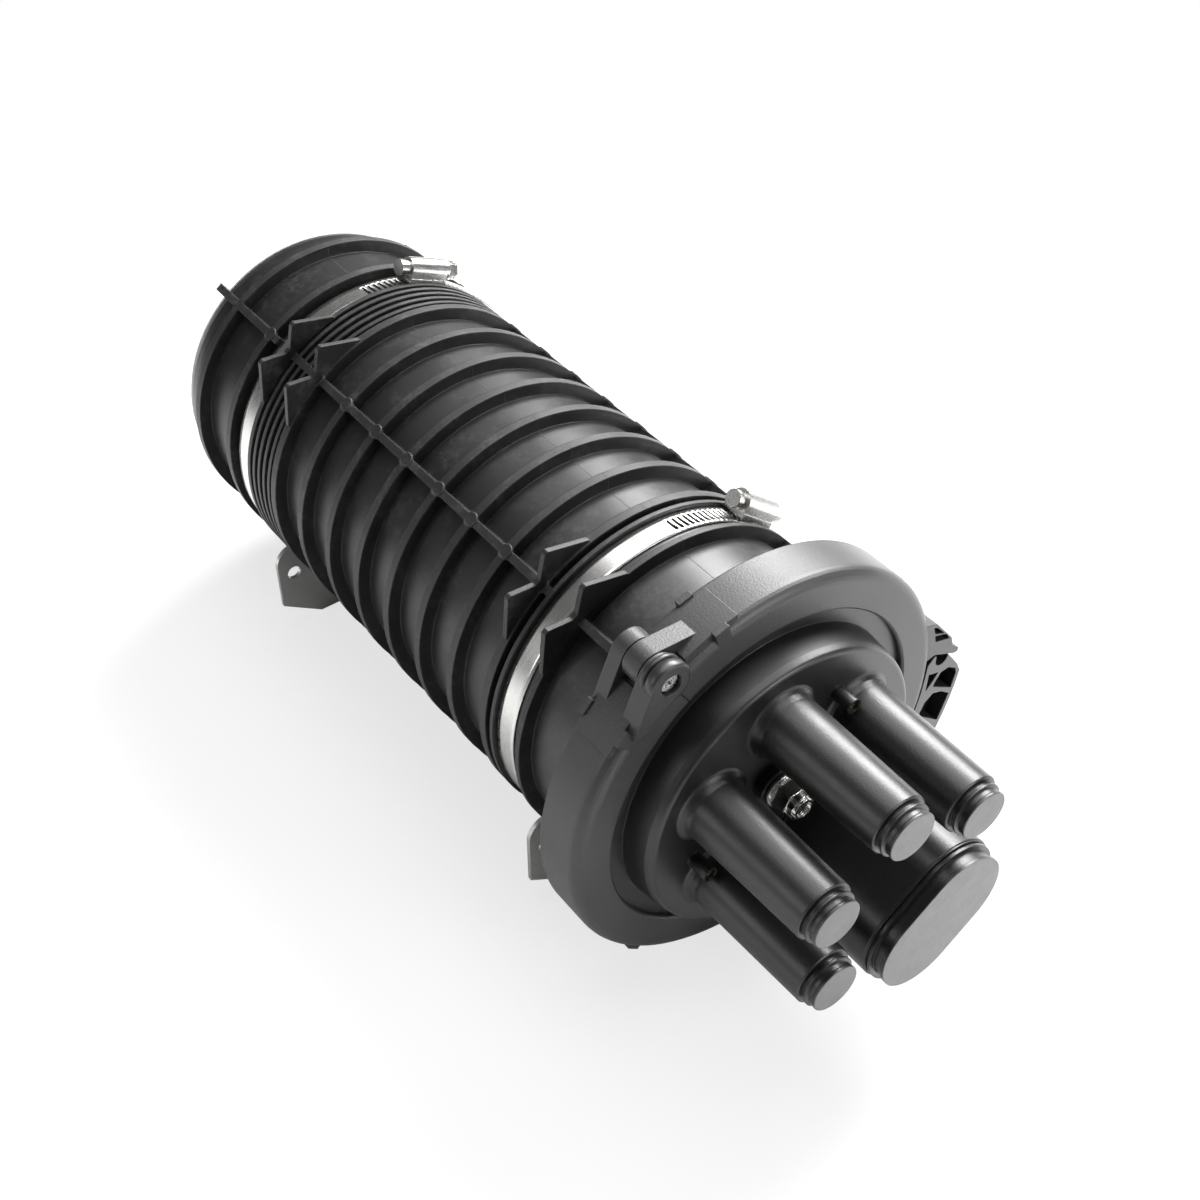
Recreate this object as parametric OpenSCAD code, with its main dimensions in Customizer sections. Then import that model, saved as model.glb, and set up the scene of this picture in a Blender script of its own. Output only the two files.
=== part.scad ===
// Dome splice closure: ribbed dome, port base, hinged clamp hoop with latch,
// two band clamps with mounting brackets, valve, and the splice trays inside.
// Millimetres. The closure's axis runs along X, with the ports at +X.
// It lies on its two brackets. The frame's origin is at the middle of the underside.

/* [Dome] */
// How far the flange stands out from the dome's skin
flange_step = 19.5; // [17.5:0.5:21]
// Wall thickness of the dome
dome_wall = 3.2; // [2.6:0.1:3.8]
// Height of the ribs above the skin
rib_h = 7; // [5:0.5:8]
// Thickness of a main ring rib at its top
rib_t = 5; // [3.5:0.5:6]
// Thickness of a narrow ring rib at its top
thin_rib_t = 2.4; // [1.6:0.2:3]
// Distance from one main ring rib to the next
rib_pitch = 29.3; // [28:0.1:30.5]
// Number of plain main ring ribs between the two saddles
rib_count = 6; // [4:1:6]
// How far the shell beyond the last ring rib stands out from the skin
nose_step = 3; // [1:0.5:4]
// Radius that rounds the shell into its flat end
nose_fillet = 24; // [14:1:28]
// Distance from the last ring rib to the flat end
nose_l = 35; // [30:1:40]
// Thickness of the four lengthwise ribs
long_rib_t = 4.4; // [3:0.2:6]
// Distance from the clamp's front face to the saddle rib nearest it
saddle_x = 72; // [68:0.5:76]
// Height of the saddle points above the ring ribs
saddle_h = 15; // [10:0.5:18]
// Half the distance between the two points of a saddle plate
saddle_half_w = 13; // [10:0.5:15]
// Thickness of a saddle plate
saddle_t = 3; // [2:0.2:4]
// Roll of dome and base about the long axis, from straight up
body_roll = 36.5; // [30:0.5:42]

/* [Flanges and clamp] */
// Outside radius of the clamp hoop, which sets the closure's girth
hoop_r = 110; // [104:0.5:118]
// Thickness of the hoop outside the flanges
hoop_wall = 6.5; // [5.5:0.1:7.5]
// Thickness of each clamped flange
flange_t = 9.9; // [9:0.1:10.5]
// Width of the clamp hoop along the axis
hoop_w = 27.5; // [26.5:0.1:29]
// Depth of the clamp's front wall, from its outside to its opening
lip_depth = 20.5; // [18.5:0.5:21.5]
// Thickness of the clamp's front wall at its opening
lip_t = 3.4; // [2.8:0.1:3.8]
// Clearance between the clamp's channel and the flanges
clamp_gap = 0.3; // [0.2:0.1:0.5]
// Turn of the clamp on the closure, away from the body's roll
clamp_turn = 4; // [0:0.5:8]
// Outside radius of the hinge barrel
hinge_r = 9.5; // [8.5:0.5:10.5]
// Height of the hinge pin above the hoop's outside
hinge_lift = 3.5; // [2.5:0.5:4.5]
// Radius of the hinge and latch pins
pin_r = 3; // [2.5:0.25:3.5]
// Radial play of the pins in their bores
pin_play = 0.05; // [0.02:0.01:0.08]

/* [Latch] */
// Height of the latch lever over the hoop
lever_h = 29; // [26:0.5:30]
// Gap between the closed lever and the hoop
lever_gap = 1.6; // [1.2:0.1:2.2]
// Angle from the hinge to the lever's tip
tip_at = 122.5; // [120:0.5:126]
// Angle between the split and the lever's pivot
pivot_at = 6.6; // [6:0.1:7.5]
// Radius of the lever's pivot above the hoop's outside
pivot_lift = 11.8; // [11.4:0.1:12.4]
// Wall thickness between the lever's cells
cell_wall = 2.2; // [1.6:0.1:3]
// Depth of the cells in the lever's side
cell_depth = 9; // [6:0.5:10]
// Clearance between the hook and the lug it pulls on
hook_gap = 0.15; // [0.1:0.05:0.3]

/* [Base and ports] */
// Step from the dome's bore to the raised port plate
plate_step = 2.1; // [1.5:0.1:3]
// Height of the port plate's face in front of the clamp
plate_h = 14.9; // [12:0.1:17]
// Wall thickness of the base
base_wall = 4; // [3:0.1:4.5]
// Length of the ports in front of the port plate
port_l = 81.9; // [70:0.1:90]
// Radius of a round port at its root
port_r = 16.4; // [15.6:0.1:16.8]
// Radius of a round port at its rim
port_rim_r = 15.3; // [14.6:0.1:15.6]
// Radius of the closed cap at a round port's end
port_cap_r = 12.6; // [11.8:0.1:13]
// Wall thickness of the ports
port_wall = 2.9; // [2.2:0.1:3.2]
// Distance of the round ports' middles from the port plate's edge
port_inset = 28.9; // [28:0.1:31]
// Angle of the two upper round ports from the top
upper_port_at = 28.8; // [28:0.1:33]
// Distance of the oval port's edge from the port plate's edge
oval_inset = 5.6; // [5:0.1:7]
// Half the length of the oval port
oval_a = 40.5; // [38:0.1:41]
// Half the width of the oval port
oval_b = 28.6; // [27:0.1:29]
// How much smaller the oval port's end cap is all round
oval_step = 2.6; // [2:0.1:3]
// Distance of the valve above the axis
valve_u = 15.5; // [14.5:0.5:16.5]
// Radius of the valve's boss
valve_boss_r = 12; // [11:0.5:12.5]
// Radius of the two earth bosses
earth_r = 4; // [3.6:0.1:4.5]
// Height of the two earth bosses
earth_h = 11.5; // [8:0.5:14]

/* [Bands and brackets] */
// Width of a steel band
band_w = 12.7; // [12:0.1:13]
// Thickness of a steel band
band_t = 0.9; // [0.7:0.1:1.2]
// Depth of the band seats below the rib tops
seat_depth = 3; // [2.6:0.1:3.4]
// Thickness of the bracket steel
bracket_t = 2.5; // [2:0.1:2.6]
// Thickness of the bracket's shelf under its band
shelf_t = 1.5; // [1.2:0.1:1.8]
// How far a bracket reaches out beyond the band seat on each side
bracket_over = -4; // [-8:1:0]
// Clearance between the clamp hoop and the plane of the brackets' feet
foot_clear = 2; // [1.4:0.1:6]
// Depth of a bracket's foot along the axis
foot_l = 26; // [20:1:30]
// Radius of the hole in each bracket ear
ear_hole_r = 4.3; // [3.5:0.1:5]
// Angle of the front band's screw from straight up
front_screw_at = 39; // [30:1:44]
// Angle of the rear band's screw from straight up
rear_screw_at = 23; // [15:1:35]

/* [Inside] */
// Distance from one tray to the next
tray_pitch = 12; // [11.5:0.1:12.5]
// Room between a tray's edge and the dome's bore, beside the axis
tray_room = 30.8; // [29.8:0.2:36]
// Length of a tray
tray_l = 290; // [250:1:292]
// Depth of a tray
tray_d = 9; // [8:0.5:10]
// Wall thickness of a tray
tray_wall = 1.8; // [1.4:0.1:2.2]
// Thickness of the carrier frame's sheet
frame_t = 1.5; // [1.2:0.1:2]

/* [Hidden] */
$fn = 96;

k = hoop_r / 110;
flange_r = hoop_r - hoop_wall;
skin_r = flange_r - flange_step;
lip_r = hoop_r - lip_depth;
nose_r = skin_r + nose_step;
lever_out = hoop_r + lever_h;
top_r = skin_r + rib_h;
bore_r = skin_r - dome_wall;
plate_r = bore_r - plate_step;
axis_h = hoop_r + foot_clear;
// stations along the axis, measured back from the clamp's front face
face_x = -lip_t - clamp_gap;
joint_x = face_x - flange_t;
back_x = joint_x - flange_t;
slope_r = flange_r - flange_step / 3;
slope_x = 3.5;
c4 = -saddle_x;
band_f = c4 - 12.5;
thin_f = band_f - 8.9;
c3 = thin_f - 7.5;
rib_0 = c3 - rib_pitch;
c2 = rib_0 - rib_count * rib_pitch;
thin_step = 5.6;
c1 = c2 - 5 * thin_step;
band_r = c1 - 8.6;
rib_e = band_r - 16;
nose_0 = rib_e - 37;
dome_end = nose_0 - nose_l;
port_end = plate_h + port_l;
seat_r = top_r - seat_depth;
bracket_half_w = seat_r + bracket_over;
tray_w = 2 * (bore_r - tray_room);
band_in = seat_r + 0.05;
pin_z = hoop_r + hinge_lift;
pivot_r = hoop_r + pivot_lift * k;
lever_in = hoop_r + lever_gap;
split_gap = 0.2;
clamp_roll = body_roll - clamp_turn;
tray_count = 4;
// the frame: origin under the middle of the closure's box
mid_x = (dome_end + port_end) / 2;
mid_y = (lever_out * sin(max(tip_at + 7.7 - clamp_roll, 90)) - hoop_r) / 2;

module place() translate([-mid_x, -mid_y, axis_h]) children();
module rolled(a) place() rotate([a, 0, 0]) children();
module rev() rotate([0, 90, 0]) rotate_extrude() children();
// a plate across the axis: 2D drawn with x = sideways, y = up
module across(x0, x1) translate([x0, 0, 0]) rotate([90, 0, 90]) linear_extrude(x1 - x0) children();
module rod(r, x0, x1, y = 0, z = 0) translate([x0, y, z]) rotate([0, 90, 0]) cylinder(r = r, h = x1 - x0);
function pol(r, a) = [r * sin(a), r * cos(a)];
module wedge(a0, a1, r = 200) {
    n = max(1, ceil(abs(a1 - a0) / 40));
    polygon(concat([[0, 0]], [for (i = [0:n]) pol(r, a0 + (a1 - a0) * i / n)]));
}
module sector(r0, r1, a0, a1) {
    intersection() {
        difference() {
            circle(r = r1, $fn = 180);
            circle(r = r0, $fn = 180);
        }
        wedge(a0, a1);
    }
}
function arc(cx, cy, r, a0, a1,
        n) = [for (i = [0:n]) let (a = a0 + (a1 - a0) * i / n) [cx + r * cos(a), cy + r * sin(a)]];

// ---- dome -------------------------------------------------------------------
module ring_rib(x, t, r = top_r) {
    rev() polygon([[skin_r - 1, x - t / 2 - 0.7], [r, x - t / 2], [r, x + t / 2],
            [skin_r - 1, x + t / 2 + 0.7]]);
}
module saddle(x) {
    across(x - saddle_t / 2, x + saddle_t / 2)
    difference() {
        polygon([[-30, 70], [30, 70], [30, top_r - 4.2], [saddle_half_w + 1.2, top_r + saddle_h - 1.5],
                 [saddle_half_w - 1, top_r + saddle_h - 1.5], [1.5, top_r + 4.5], [-1.5, top_r + 4.5],
                 [1 - saddle_half_w, top_r + saddle_h - 1.5],
                         [-1.2 - saddle_half_w, top_r + saddle_h - 1.5],
                 [-30, top_r - 4.2]]);
        circle(r = skin_r - 1.5, $fn = 180);
    }
}
module long_rib() {
    in0 = skin_r - 1.6;
    translate([0, long_rib_t / 2, 0]) rotate([90, 0, 0]) linear_extrude(long_rib_t)
    polygon([[back_x - 2, in0], [back_x - 8, in0], [back_x - 20, top_r], [nose_0 - 12, top_r],
             [dome_end + 10, top_r - 1.2], [dome_end + 5.5, top_r - 4], [dome_end + 4.5, top_r - 8],
             [dome_end + nose_fillet * 0.45, nose_r - nose_fillet * 0.42],
             [dome_end + nose_fillet + 4, nose_r - 2], [nose_0, in0]]);
}
module dome() {
    color("#1d1e20") rolled(body_roll) {
        difference() {
            union() {
                rev() polygon(concat(
                    [[0, joint_x], [flange_r, joint_x], [flange_r, back_x + slope_x], [slope_r, back_x],
                     [skin_r + 4, back_x], [skin_r + 2, back_x - 3], [skin_r, back_x - 8],
                             [skin_r, nose_0 + 2],
                     [nose_r, nose_0 - 1]],
                    [for (i = [0:8]) let (a = i * 90 / 8)
                        [nose_r - nose_fillet + nose_fillet * cos(a),
                                dome_end + nose_fillet - nose_fillet * sin(a)]],
                    [[0, dome_end]]));
                for (i = [0:rib_count - 1]) ring_rib(rib_0 - i * rib_pitch, rib_t);
                ring_rib(rib_e, rib_t);
                ring_rib(nose_0, rib_t);
                ring_rib(c4, saddle_t);
                ring_rib(thin_f, thin_rib_t);
                ring_rib(c3, rib_t);
                ring_rib(c2, rib_t);
                for (i = [1:4]) ring_rib(c2 - i * thin_step, thin_rib_t);
                ring_rib(c1, saddle_t);
                for (x = [band_f, band_r])
                    rev() polygon([[skin_r - 1, x - 9.5], [seat_r, x - 7.6], [seat_r, x + 9.8],
                            [skin_r - 1, x + 11.5]]);
                for (a = [0, 90, 180, 270]) rotate([a, 0, 0]) difference() {
                    long_rib();
                    for (x = [band_f, band_r]) rod(r = 100, x0 = x - 7.6, x1 = x + 10.1);
                }
                for (x = [c1, c2, c3, c4]) saddle(x);
            }
            // room for the rear bracket's web under the first saddle rib
            across(c1 - 2.2, c1 + 2.3) sector(seat_r, top_r + 4, 180 + body_roll - 58,
                    180 + body_roll + 58);
            rev() polygon(concat([[0, joint_x + 1], [bore_r, joint_x + 1], [bore_r, nose_0 - 4]],
                    [for (i = [0:8]) let (a = i * 90 / 8)
                        [nose_r - nose_fillet + (nose_fillet - dome_wall) * cos(a)
                                - (i == 0 ? nose_r - dome_wall - bore_r : 0),
                         dome_end + nose_fillet - (nose_fillet - dome_wall) * sin(a)]],
                    [[0, dome_end + dome_wall]]));
        }
    }
}

// ---- base -------------------------------------------------------------------
spigot_r = bore_r - 0.5;
spigot_x = joint_x - 27;
ring_minor = 2.38;
groove_r = bore_r - 2 * ring_minor - 0.04;
ring_x = joint_x - 7;
port_d = plate_r - port_inset;
oval_port_u = plate_r - oval_inset - oval_b;
ports = [for (a = [90, -90, upper_port_at, -upper_port_at]) [port_d * cos(a), port_d * sin(a)]];
earths = [for (s = [1, -1]) [port_d * 0.452, s * port_d]];
module stadium(a, b) {
    square([2 * (a - b), 2 * b], center = true);
    for (s = [-1, 1]) translate([s * (a - b), 0]) circle(r = b);
}
module port_solid() {
    e = port_end;
    rev() polygon([[0, plate_h - base_wall], [port_r, plate_h - base_wall], [port_r + 4.6, plate_h - 0.5],
                   [port_r + 2.3, plate_h + 0.7], [port_r + 1, plate_h + 2.2], [port_r + 0.2, plate_h + 5],
                   [port_rim_r, e - 10.4], [port_rim_r, e - 8.6], [port_rim_r - 0.7, e - 8],
                   [port_cap_r, e - 8], [port_cap_r, e - 6.2], [port_cap_r + 1.2, e - 5.6],
                   [port_cap_r + 1.2, e - 4.6], [port_cap_r - 0.4, e - 4], [port_cap_r - 0.4, e - 1.8],
                   [port_cap_r, e - 1.4], [port_cap_r, e - 0.3], [port_cap_r - 0.3, e], [0, e]]);
}
module port_bore() {
    e = port_end;
    rod(port_rim_r - port_wall, plate_h - base_wall - 8, e - 10);
    rod(port_cap_r - 3, e - 10.1, e - 3);
}
module oval_solid() {
    e = port_end;
    across(plate_h - base_wall, plate_h + 1) stadium(oval_a + 1.4, oval_b + 1.4);
    across(plate_h, plate_h + 3) stadium(oval_a + 0.6, oval_b + 0.6);
    across(plate_h, e - 10.6) stadium(oval_a, oval_b);
    across(e - 11, e - 9.6) stadium(oval_a - 0.5, oval_b - 0.5);
    across(e - 10, e - 8.4) stadium(oval_a - 1.9, oval_b - 1.9);
    across(e - 8.6, e - 7) stadium(oval_a - 0.9, oval_b - 0.9);
    across(e - 7.2, e - 1) stadium(oval_a - oval_step - 0.8, oval_b - oval_step - 0.8);
    across(e - 1.8, e) stadium(oval_a - oval_step, oval_b - oval_step);
}
module oval_bore() {
    e = port_end;
    across(plate_h - base_wall - 8, e - 11.5) stadium(oval_a - port_wall, oval_b - port_wall);
    across(e - 11.6, e - 3) stadium(oval_a - oval_step - 3.6, oval_b - oval_step - 3.6);
}
post_y = tray_w / 2 - 4;
post_z = -0.42 * bore_r;
module base() {
    color("#1f2022") rolled(body_roll) difference() {
        union() {
            difference() {
                rev() polygon(concat([[0, plate_h]],
                    [for (i = [0:5]) let (a = 90 - i * 16) [plate_r - 2.6 + 2.6 * cos(a),
                            plate_h - 2.6 + 2.6 * sin(a)]],
                    [[plate_r + 0.6, plate_h - 4.5], [plate_r + 2.1, face_x], [slope_r, face_x],
                            [flange_r, face_x - slope_x],
                     [flange_r, joint_x], [spigot_r, joint_x], [spigot_r, ring_x + 2.6],
                             [groove_r, ring_x + 2.6],
                     [groove_r, ring_x - 2.6], [spigot_r, ring_x - 2.6], [spigot_r, spigot_x + 1.5],
                     [spigot_r - 1.5, spigot_x], [0, spigot_x]]));
                rev() polygon([[0, plate_h - base_wall], [plate_r - 5, plate_h - base_wall],
                               [plate_r - 4.2, plate_h - base_wall - 1], [groove_r - 3.4, joint_x],
                                       [groove_r - 3.4, spigot_x - 1],
                               [0, spigot_x - 1]]);
            }
            for (p = ports) translate([0, p[1], p[0]]) port_solid();
            translate([0, 0, -oval_port_u]) oval_solid();
            rod(valve_boss_r, plate_h - base_wall, plate_h + 6, 0, valve_u);
            for (p = earths) rod(earth_r, plate_h - base_wall, plate_h + earth_h, p[1], p[0]);
            for (s = [-1, 1]) translate([spigot_x - 16, s * post_y - 6,
                    post_z - 9]) cube([plate_h - spigot_x + 14, 12, 9]);
        }
        for (p = ports) translate([0, p[1], p[0]]) port_bore();
        translate([0, 0, -oval_port_u]) oval_bore();
        rod(valve_stem_r + 0.1, plate_h - 12, plate_h + 7, 0, valve_u);
        for (p = earths) rod(earth_r - 1.2, plate_h - base_wall - 1, plate_h + earth_h + 1, p[1], p[0]);
        for (s = [-1, 1]) translate([spigot_x - 10, s * post_y, post_z - 10]) cylinder(r = 1.6, h = 11);
    }
}
module o_ring() {
    color("#3a3a3c") rolled(body_roll) rev() translate([bore_r - 0.02 - ring_minor,
            ring_x]) circle(r = ring_minor, $fn = 32);
}

// ---- valve and earth inserts --------------------------------------------------
valve_stem_r = 5;
boss_x = plate_h + 6;
module valve_body() {
    color("#c8c8c6") rolled(body_roll) translate([0, 0, valve_u]) difference() {
        union() {
            rod(valve_stem_r, plate_h - base_wall - 9, boss_x + 9);
            rod(9.6, boss_x + 1, boss_x + 2.2);
            rod(8.8, boss_x + 2.1, boss_x + 3);
        }
        rod(2, plate_h - base_wall - 10, boss_x + 10);
    }
}
module valve_gasket() {
    color("#303030") rolled(body_roll) translate([0, 0, valve_u]) difference() {
        rod(9.4, boss_x, boss_x + 1);
        rod(valve_stem_r + 0.1, boss_x - 1, boss_x + 2);
    }
}
module valve_nut() {
    color("#c8c8c6") rolled(body_roll) translate([plate_h - base_wall - 5, 0, valve_u]) difference() {
        rotate([0, 90, 0]) cylinder(r = 9, h = 5, $fn = 6);
        rod(valve_stem_r + 0.05, -1, 6);
    }
}
module valve_cap() {
    color("#c8c8c6") rolled(body_roll) translate([boss_x + 3.3, 0, valve_u]) difference() {
        union() {
            rotate([0, 90, 0]) cylinder(r = 8.3, h = 8, $fn = 6);
            rod(6.8, 7.9, 11.6);
            rod(5.6, 11.5, 12.8);
        }
        rod(valve_stem_r + 0.06, -1, 6.6);
        rod(4.2, 11.8, 14);
    }
}
module earth_inserts() {
    color("#b9a56a") rolled(body_roll) for (p = earths) difference() {
        rod(earth_r - 1.25, plate_h - base_wall - 4, plate_h + earth_h - 2, p[1], p[0]);
        rod(earth_r - 2.35, plate_h - base_wall - 5, plate_h + earth_h, p[1], p[0]);
    }
}

// ---- clamp hoop ----------------------------------------------------------------
module hoop_ring() {
    f = 6;
    rev() polygon(concat(
        [[lip_r + 1, 0]],
        [for (i = [0:6]) let (a = 90 - i * 15) [hoop_r - f + f * cos(a), f * sin(a) - f]],
        [[hoop_r, 1.2 - hoop_w], [hoop_r - 1.2, -hoop_w], [skin_r + 7, -hoop_w],
         [skin_r + 7, back_x - clamp_gap], [slope_r + clamp_gap / 2, back_x - clamp_gap],
         [flange_r + clamp_gap, back_x + slope_x - clamp_gap / 2],
                 [flange_r + clamp_gap, face_x - slope_x + clamp_gap / 2],
         [slope_r + clamp_gap / 2, face_x + clamp_gap], [lip_r, face_x + clamp_gap], [lip_r, -1]]));
}
// knuckles along the hinge: the lower half has the outer two, the upper half the middle one
k0 = -hoop_w;
k1 = -hoop_w + 8.2;
k2 = -hoop_w + 19;
k3 = 2.8;
kgap = 0.3;
module half(s) {
    // s = 1 for the upper half (+Y side), -1 for the lower half
    intersection() {
        hoop_ring();
        translate([-60, s > 0 ? split_gap : -200 - split_gap, -200]) cube([100, 200, 400]);
    }
    // raised pad and its lugs beside the hinge
    across(-hoop_w + 3, -3) sector(hoop_r - 1, hoop_r + 1.3, s * 6, s * 21.5);
    for (x = [[-hoop_w, -hoop_w + 3.2], [-3.4, 0]])
        across(x[0], x[1]) sector(hoop_r - 6.2, hoop_r + 2.6, s * 14, s * 18);
}
module knuckle(s, x0, x1) {
    rod(hinge_r, x0, x1, 0, pin_z);
    across(x0, x1) polygon([[0, pin_z], [s * hinge_r * 0.62, pin_z + hinge_r * 0.785],
            pol(hoop_r - 1, s * 15),
                            pol(hoop_r - 5, s * 14), [s * 1.2, hoop_r - 5]]);
}
module clamp_lower() {
    color("#232426") rolled(clamp_roll) difference() {
        union() {
            difference() {
                half(-1);
                rod(hinge_r + kgap, k1, k2, 0, pin_z);
            }
            knuckle(-1, k0, k1 - kgap);
            knuckle(-1, k2 + kgap, k3);
            // lug that the latch's hook pulls on
            across(-hoop_w + 6.5, -7) polygon([[-6 * k, 4 - hoop_r], [-6 * k, -hoop_r - 5.5 * k],
                    [-12 * k, -hoop_r - 5.5 * k], [-12 * k, 4 - hoop_r]]);
            // small pad on the hoop's outside
            across(-14, -3) sector(hoop_r - 2, hoop_r + 1.4, 252, 256);
        }
        rod(pin_r + pin_play, k0 + 1.5, k3 - 3.5, 0, pin_z);
        rod(5.4, k3 - 4, k3 + 1, 0, pin_z);
    }
}
module hinge_pin() {
    color("#cfcfcf") rolled(clamp_roll) translate([0, 0, pin_z]) difference() {
        union() {
            rod(pin_r, k0 + 1.6, k3 - 3.9);
            rod(4.6, k3 - 4, k3 - 2);
        }
        rod(1.6, k3 - 3, k3);
    }
}
// latch: the lever's pivot is near the split; its hook reaches over the split to a lug on the lower half
pp = pol(pivot_r, 180 - pivot_at);
hp = [pp[0] + 13.9 * k, pp[1] + 0.2 * k];
hpin_r = 2;
cheek = [[-hoop_w, -hoop_w + 4.3], [-4.5, -0.2]];
arm_x = [[-hoop_w + 4.6, -hoop_w + 9.6], [-9.8, -4.8]];
hook_x = [-hoop_w + 10, -10.2];
module clamp_upper() {
    color("#232426") rolled(clamp_roll) difference() {
        union() {
            difference() {
                half(1);
                rod(hinge_r + kgap, k0 - 1, k1, 0, pin_z);
                rod(hinge_r + kgap, k2, k3 + 1, 0, pin_z);
            }
            knuckle(1, k1 + kgap, k2 - kgap);
            // ramp that guards the lever's tip
            across(2 - hoop_w, -1.5)
                polygon([pol(hoop_r - 2.5 * k, 105), pol(hoop_r + 2.6 * k, 106.8),
                        pol(hoop_r + 5.1 * k, 108), pol(hoop_r + 14.7 * k, 116.5),
                         pol(hoop_r + 16.2 * k, 119.6), pol(hoop_r + 21 * k, 121.6),
                                 pol(hoop_r + 20.6 * k, 122.7), pol(hoop_r + 18 * k, 122.6),
                         pol(hoop_r + 3.5 * k, 119), pol(hoop_r - 2.5 * k, 119.4)]);
            // cheeks that hold the lever's pivot
            for (x = cheek) across(x[0], x[1]) {
                translate(pp) circle(r = 7.5);
                polygon([pol(hoop_r - 2 * k, 166), pol(pivot_r + 3, 180 - pivot_at - 3.2),
                        pol(pivot_r + 3, 180 - pivot_at + 3.2), pol(hoop_r - 2 * k, 179.6)]);
            }
        }
        rod(pin_r + pin_play, k1 - 1, k2 + 1, 0, pin_z);
        rod(pin_r + pin_play, -hoop_w - 1, 1, pp[0], pp[1]);
        // cells in the ramp, open to the front
        across(-1.5 - cell_depth, 0) {
            polygon([pol(hoop_r + 2.4 * k, 108.2), pol(hoop_r + 4.6 * k, 109), pol(hoop_r + 9.3 * k,
                    113), pol(hoop_r + 3 * k, 110.8)]);
            polygon([pol(hoop_r + 2.8 * k, 111.6), pol(hoop_r + 10.7 * k, 113.8), pol(hoop_r + 13 * k,
                    116.2), pol(hoop_r + 3.2 * k, 114)]);
        }
    }
}
module latch_lever() {
    q = lever_out;
    color("#232426") rolled(clamp_roll) difference() {
        union() {
            across(3 - hoop_w, -3) {
                sector(lever_in, q, tip_at + 7.7, 148);
                polygon([pol(lever_in, tip_at + 0.5), pol(lever_in + 4 * k, tip_at - 1.5),
                        pol(q - 13.2 * k, tip_at + 0.3),
                         pol(q - 3.6 * k, tip_at + 5.5), pol(q - 0.4 * k, tip_at + 7.8),
                                 pol(lever_in + 0.05 * k, tip_at + 10)]);
                intersection() {
                    sector(lever_in, q, 147, 162.3);
                    polygon([[0, 0], pol(q + 4 * k, 146), pol(q, 147.6), pol(q - 3.5 * k, 155),
                            pol(q - 8 * k, 162.5)]);
                }
            }
            for (x = arm_x) across(x[0], x[1]) {
                translate(pp) circle(r = 6.5);
                polygon([pol(lever_in + 2.4 * k, 161), pol(q - 7.2 * k, 161), pol(q - 11 * k, 170),
                        pol(pivot_r + 6.2, 180 - pivot_at), pp,
                         pol(pivot_r - 6, 180 - pivot_at - 1), pol(lever_in + 4.6 * k, 166)]);
            }
        }
        rod(pin_r + pin_play, -hoop_w - 1, 1, pp[0], pp[1]);
        rod(hpin_r + pin_play, -hoop_w - 1, 1, hp[0], hp[1]);
        // notch in the tip
        across(-hoop_w, 0) {
            translate(pol(lever_in + 9.7 * k, tip_at + 0.6)) circle(r = 4.3, $fn = 48);
            polygon([pol(lever_in + 5.4 * k, tip_at + 0.6), pol(lever_in + 5.4 * k, tip_at - 4),
                    pol(lever_in + 14 * k, tip_at - 4),
                     pol(lever_in + 14 * k, tip_at + 0.6)]);
        }
        // cells, open to the front
        across(-3 - cell_depth, 0) {
            w = cell_wall;
            polygon([pol(lever_in + 2.2 * k, tip_at + 4.3), pol(lever_in + 9.4 * k, tip_at + 5.1),
                    pol(lever_in + 7 * k, tip_at + 7.4), pol(lever_in + 3.4 * k, tip_at + 10.2)]);
            polygon([pol(lever_in + 11.9 * k, tip_at + 5.6), pol(lever_in + 17 * k, tip_at + 5.2),
                    pol(q - 4.2 * k, tip_at + 6.6), pol(q - 2.6 * k, tip_at + 8.2),
                     pol(q - 2.6 * k, tip_at + 12.4), pol(lever_in + 8.6 * k, tip_at + 9.6),
                             pol(lever_in + 9 * k, tip_at + 8.2)]);
            polygon([pol(lever_in + 10.6 * k, tip_at + 12), pol(lever_in + 17 * k, tip_at + 12.4),
                    pol(q - 2.6 * k, tip_at + 14),
                     pol(q - 2.6 * k, tip_at + 21.4), pol(lever_in + 5.4 * k, tip_at + 18.4),
                             pol(lever_in + 6.2 * k, tip_at + 14.4)]);
            for (i = [0:1]) rotate(-(i * 8.6))
                polygon([pol(lever_in + 5 * k, tip_at + 20.6 + w / 2.4), pol(q - 3.6 * k,
                        tip_at + 23.4 + w / 2.4), pol(q - 3.6 - i * 1.6, tip_at + 29.6),
                         pol(lever_in + 4 * k, tip_at + 27)]);
        }
    }
}
module latch_pin() {
    color("#cfcfcf") rolled(clamp_roll) rod(pin_r, -hoop_w + 0.2, -0.4, pp[0], pp[1]);
}
module latch_hook() {
    t = -hoop_r;
    color("#232426") rolled(clamp_roll) difference() {
        across(hook_x[0], hook_x[1])
            polygon([[hp[0] + 5.2, hp[1] - 2.6], [hp[0] + 2.4, hp[1] - 4.8], [22 * k, t - 18.6 * k],
                    [14 * k, t - 19.6 * k], [4 * k, t - 19.2 * k], [-6 * k, t - 15 * k],
                     [-13 * k, t - 11.6 * k], [-17 * k, t - 9.2 * k], [-16.6 * k, t - 1 * k],
                             [-12 * k - hook_gap, t - 1 * k], [-12 * k - hook_gap, t - 6.4 * k],
                             [-5.5 * k, t - 6.4 * k],
                     [0, t - 8.5 * k], [8 * k, t - 14.4 * k], [19 * k, t - 14.4 * k],
                             [hp[0] - 5, hp[1] + 1.2], [hp[0] - 2.4, hp[1] + 4.8],
                     [hp[0] + 2.4, hp[1] + 4.8], [hp[0] + 5.2, hp[1] + 2.2]]);
        rod(hpin_r + pin_play, -hoop_w, 0, hp[0], hp[1]);
    }
}
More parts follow.
